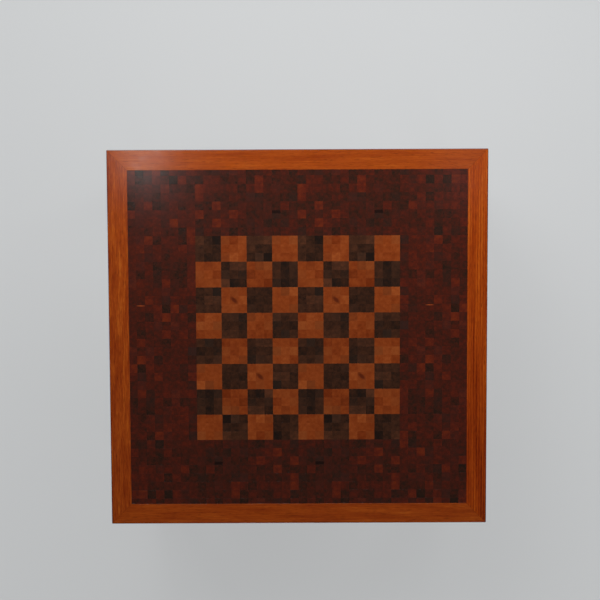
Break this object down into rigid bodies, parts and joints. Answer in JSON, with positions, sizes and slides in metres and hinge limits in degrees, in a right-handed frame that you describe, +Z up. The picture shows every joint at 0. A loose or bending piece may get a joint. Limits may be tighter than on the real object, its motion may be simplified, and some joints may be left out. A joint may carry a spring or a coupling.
{
  "type": "chess table with inlaid board",
  "caption": "Low square chess table: end-grain mosaic top with an inlaid board, mitred frame, tapered legs, aprons, corner blocks, wooden buttons and glides.",
  "frame": {"origin": "on the floor, under the middle of the table", "axes": "+Z up; +X along the longer side of the top, players sit at -X and +X; +Y along the shorter side"},
  "size_m": [0.7492, 0.7438, 0.48],
  "materials": {
    "frame_wood": "satin lacquer",
    "underframe_wood": "satin lacquer",
    "light_blocks": "satin lacquer, end grain",
    "dark_blocks": "satin lacquer, end grain",
    "field_blocks": "satin lacquer, end grain",
    "core": "sanded board",
    "backing": "oiled veneer",
    "beech": "sanded",
    "screw_steel": "zinc plated",
    "nylon": "moulded"
  },
  "bodies": {
    "root": {"chess_light_squares": "light_blocks", "chess_dark_squares": "dark_blocks", "field_slices_front": "field_blocks", "field_slices_back": "field_blocks", "field_slices_left": "field_blocks", "field_slices_right": "field_blocks", "field_slices_corner": "field_blocks", "core_board": "core", "backing_veneer": "backing", "frame_rail_front": "frame_wood", "frame_rail_right": "frame_wood", "frame_rail_back": "frame_wood", "frame_rail_left": "frame_wood", "mitre_splines": "beech", "leg_front_left": "underframe_wood", "leg_front_right": "underframe_wood", "leg_back_right": "underframe_wood", "leg_back_left": "underframe_wood", "apron_front": "underframe_wood", "apron_right": "underframe_wood", "apron_back": "underframe_wood", "apron_left": "underframe_wood", "corner_block_front_left": "beech", "corner_block_front_right": "beech", "corner_block_back_right": "beech", "corner_block_back_left": "beech", "top_buttons": "beech", "button_screws": "screw_steel", "floor_glides": "nylon"}
  },
  "joints": []
}
